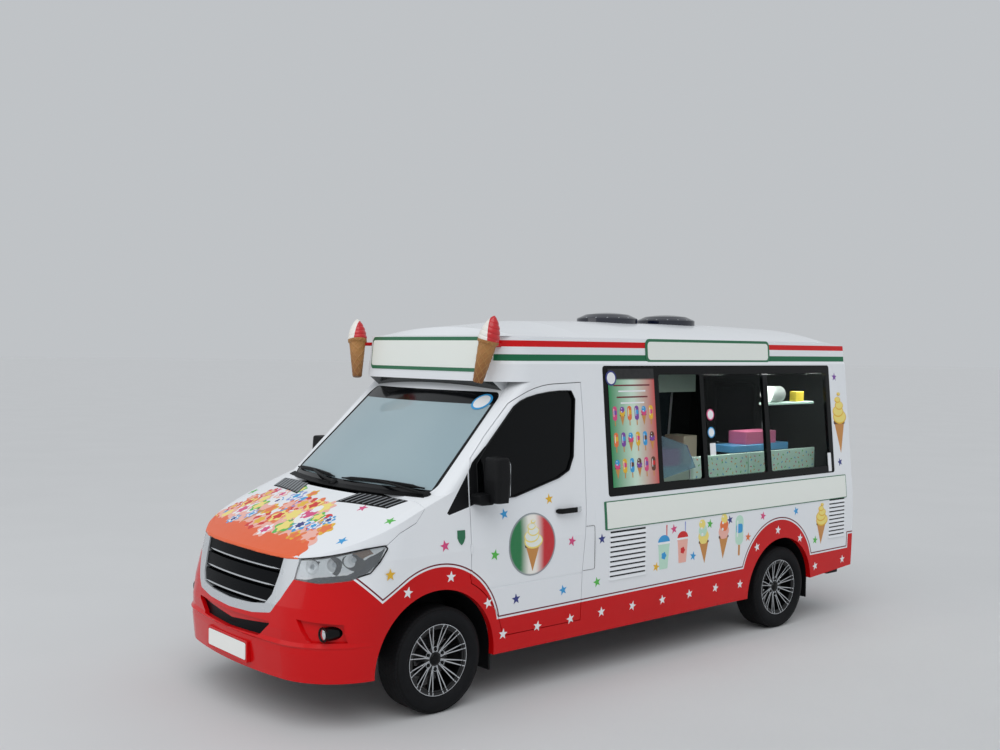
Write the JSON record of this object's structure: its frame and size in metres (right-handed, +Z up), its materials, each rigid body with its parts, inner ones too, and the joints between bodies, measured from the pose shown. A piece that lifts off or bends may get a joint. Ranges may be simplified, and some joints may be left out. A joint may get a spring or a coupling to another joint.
{
  "type": "ice cream truck",
  "caption": "Van cab with a white and red serving body: side serving window, front sign box with cones, striped roof band, roof lights, doors, bonnet and rolling wheels.",
  "frame": {"origin": "on the floor, under the middle of the truck's plan", "axes": "+X to the truck's own left, the serving side; +Y to its rear; +Z up"},
  "size_m": [2.35, 5.7528, 2.6849],
  "materials": {
    "white_paint": "gloss white paint",
    "red_paint": "gloss red paint",
    "clear_glass": "clear lamp lens",
    "lamp_grey": "grey lamp housing",
    "silver_trim": "silver gloss trim",
    "black_trim": "grained black plastic",
    "screen_glass": "clear screen glass",
    "tinted_glass": "dark tinted glass",
    "black_gloss": "black gloss panel",
    "red_lens": "red lamp lens",
    "cone_plastic": "moulded wafer and swirl",
    "black_steel": "black chassis paint",
    "engine_metal": "cast metal",
    "seat_cloth": "woven seat cloth",
    "tyre": "black rubber",
    "wheel_alloy": "black alloy with bright edges"
  },
  "bodies": {
    "body": {"cab_shell": "white_paint", "front_bumper": "red_paint", "headlamps": "lamp_grey", "grille_surround": "silver_trim", "grille_slats": "black_trim", "windscreen": "screen_glass", "side_wall_left": "white_paint", "side_wall_right": "white_paint", "window_frame": "black_gloss", "saloon_glass": "tinted_glass", "rear_wall": "white_paint", "tail_lamps": "red_lens", "lamp_lenses": "clear_glass", "fog_lamps": "lamp_grey", "quarter_trims": "black_trim", "under_fittings": "black_steel", "rear_bumper": "black_trim", "roof": "white_paint", "sign_box": "white_paint", "roof_lights": "tinted_glass", "roof_cones": "cone_plastic", "floor": "white_paint", "chassis": "black_steel", "engine": "engine_metal", "arch_liners": "black_trim", "front_axle": "black_steel", "rear_axle": "black_steel", "dashboard": "black_trim", "seats": "seat_cloth", "counter": "white_paint", "cabinets": "white_paint"},
    "bonnet": {"bonnet": "white_paint"},
    "door_left": {"door_left": "white_paint", "door_glass_left": "tinted_glass", "mirror_left": "black_trim"},
    "door_right": {"door_right": "white_paint", "door_glass_right": "tinted_glass", "mirror_right": "black_trim"},
    "rear_door": {"rear_door": "white_paint", "rear_door_glass": "tinted_glass"},
    "knuckle_left": {"knuckle_left": "black_steel"},
    "knuckle_right": {"knuckle_right": "black_steel"},
    "wheel_front_left": {"tyre_front_left": "tyre", "rim_front_left": "wheel_alloy"},
    "wheel_front_right": {"tyre_front_right": "tyre", "rim_front_right": "wheel_alloy"},
    "wheel_rear_left": {"tyre_rear_left": "tyre", "rim_rear_left": "wheel_alloy"},
    "wheel_rear_right": {"tyre_rear_right": "tyre", "rim_rear_right": "wheel_alloy"}
  },
  "joints": [
    {"name": "bonnet_lift", "type": "hinge", "parent": "body", "child": "bonnet", "pos_m": [0, -1.948, 1.442], "axis": [-1, 0, 0], "range_deg": [0, 60]},
    {"name": "door_left_swing", "type": "hinge", "parent": "body", "child": "door_left", "pos_m": [1.006, -1.627, 1], "axis": [0, 0, -1], "range_deg": [0, 70]},
    {"name": "door_right_swing", "type": "hinge", "parent": "body", "child": "door_right", "pos_m": [-1.006, -1.627, 1], "axis": [0, 0, 1], "range_deg": [0, 70]},
    {"name": "rear_door_swing", "type": "hinge", "parent": "body", "child": "rear_door", "pos_m": [-0.676, 2.873, 1.45], "axis": [0, 0, 1], "range_deg": [0, 110]},
    {"name": "steer_left", "type": "hinge", "parent": "body", "child": "knuckle_left", "pos_m": [0.79, -1.86, 0.345], "axis": [0, 0, 1], "range_deg": [-36, 36]},
    {"name": "steer_right", "type": "hinge", "parent": "body", "child": "knuckle_right", "pos_m": [-0.79, -1.86, 0.345], "axis": [0, 0, 1], "range_deg": [-36, 36]},
    {"name": "roll_front_left", "type": "hinge", "parent": "knuckle_left", "child": "wheel_front_left", "pos_m": [0.866, -1.86, 0.345], "axis": [1, 0, 0], "continuous": true},
    {"name": "roll_front_right", "type": "hinge", "parent": "knuckle_right", "child": "wheel_front_right", "pos_m": [-0.866, -1.86, 0.345], "axis": [1, 0, 0], "continuous": true},
    {"name": "roll_rear_left", "type": "hinge", "parent": "body", "child": "wheel_rear_left", "pos_m": [0.866, 1.805, 0.345], "axis": [1, 0, 0], "continuous": true},
    {"name": "roll_rear_right", "type": "hinge", "parent": "body", "child": "wheel_rear_right", "pos_m": [-0.866, 1.805, 0.345], "axis": [1, 0, 0], "continuous": true}
  ],
  "couplings": [
    {"joint": "steer_right", "follows": "steer_left", "ratio": 1}
  ]
}
